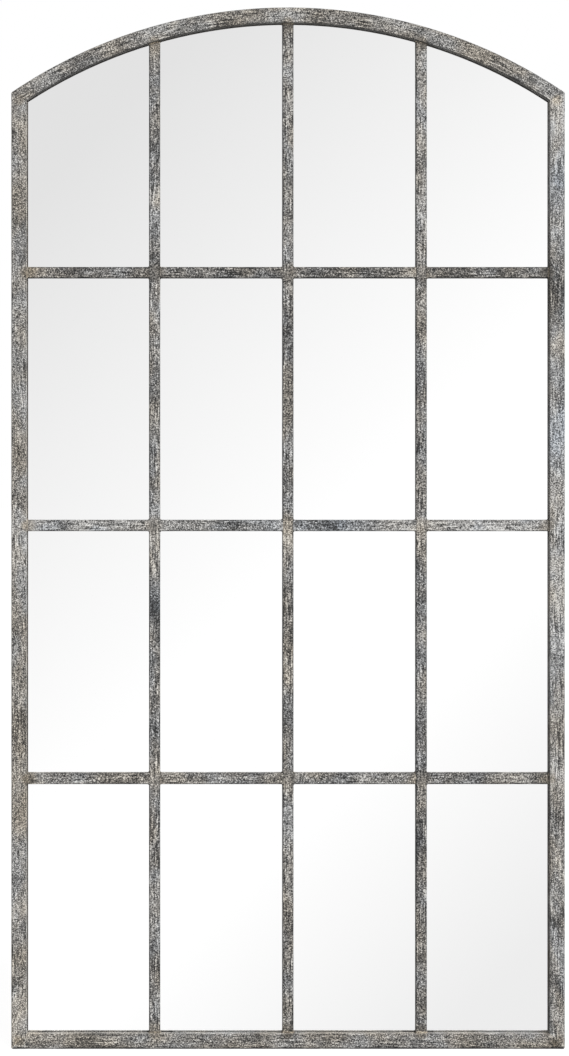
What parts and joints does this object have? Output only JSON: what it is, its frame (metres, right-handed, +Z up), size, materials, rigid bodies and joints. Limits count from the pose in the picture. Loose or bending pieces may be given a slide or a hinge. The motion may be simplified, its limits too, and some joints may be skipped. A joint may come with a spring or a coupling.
{
  "type": "arched window mirror",
  "caption": "Tall arched wall mirror: a steel frame and a grille of flat bars over one mirror sheet, like an old window, with swinging hanging rings behind.",
  "frame": {"origin": "centre of the whole mirror's box, rubber bumpers included", "axes": "+X to the viewer's right, +Y from the glass towards the wall, +Z up"},
  "size_m": [1.08, 0.038, 2.032],
  "materials": {
    "aged_paint": "crackled and rubbed grey over charcoal",
    "silvered_glass": "clear float glass, silvered",
    "hardboard": "plain tempered hardboard",
    "zinc_plate": "zinc plated",
    "black_rubber": "matt"
  },
  "bodies": {
    "mirror": {"arch_rail": "aged_paint", "left_stile": "aged_paint", "right_stile": "aged_paint", "bottom_rail": "aged_paint", "upright_1": "aged_paint", "upright_2": "aged_paint", "upright_3": "aged_paint", "crossbar_1_1": "aged_paint", "crossbar_1_2": "aged_paint", "crossbar_1_3": "aged_paint", "crossbar_1_4": "aged_paint", "crossbar_2_1": "aged_paint", "crossbar_2_2": "aged_paint", "crossbar_2_3": "aged_paint", "crossbar_2_4": "aged_paint", "crossbar_3_1": "aged_paint", "crossbar_3_2": "aged_paint", "crossbar_3_3": "aged_paint", "crossbar_3_4": "aged_paint", "mirror_glass": "silvered_glass", "backing_board": "hardboard", "backing_clip_1": "zinc_plate", "backing_clip_2": "zinc_plate", "backing_clip_3": "zinc_plate", "backing_clip_4": "zinc_plate", "backing_clip_5": "zinc_plate", "backing_clip_6": "zinc_plate", "backing_clip_7": "zinc_plate", "backing_clip_8": "zinc_plate", "backing_clip_9": "zinc_plate", "backing_clip_10": "zinc_plate", "clip_screw_1": "zinc_plate", "clip_screw_2": "zinc_plate", "clip_screw_3": "zinc_plate", "clip_screw_4": "zinc_plate", "clip_screw_5": "zinc_plate", "clip_screw_6": "zinc_plate", "clip_screw_7": "zinc_plate", "clip_screw_8": "zinc_plate", "clip_screw_9": "zinc_plate", "clip_screw_10": "zinc_plate", "left_hanger_strap": "zinc_plate", "right_hanger_strap": "zinc_plate", "left_hanger_screw_1": "zinc_plate", "left_hanger_screw_2": "zinc_plate", "right_hanger_screw_1": "zinc_plate", "right_hanger_screw_2": "zinc_plate", "lower_left_bumper": "black_rubber", "upper_left_bumper": "black_rubber", "lower_right_bumper": "black_rubber", "upper_right_bumper": "black_rubber", "setting_block_left": "black_rubber", "setting_block_right": "black_rubber"},
    "left_ring": {"left_hanger_ring": "zinc_plate"},
    "right_ring": {"right_hanger_ring": "zinc_plate"}
  },
  "joints": [
    {"name": "left_ring_swing", "type": "hinge", "parent": "mirror", "child": "left_ring", "pos_m": [-0.525, 0.0148, 0.55004], "axis": [1, 0, 0], "range_deg": [0, 180]},
    {"name": "right_ring_swing", "type": "hinge", "parent": "mirror", "child": "right_ring", "pos_m": [0.525, 0.0148, 0.55004], "axis": [1, 0, 0], "range_deg": [0, 180]}
  ]
}
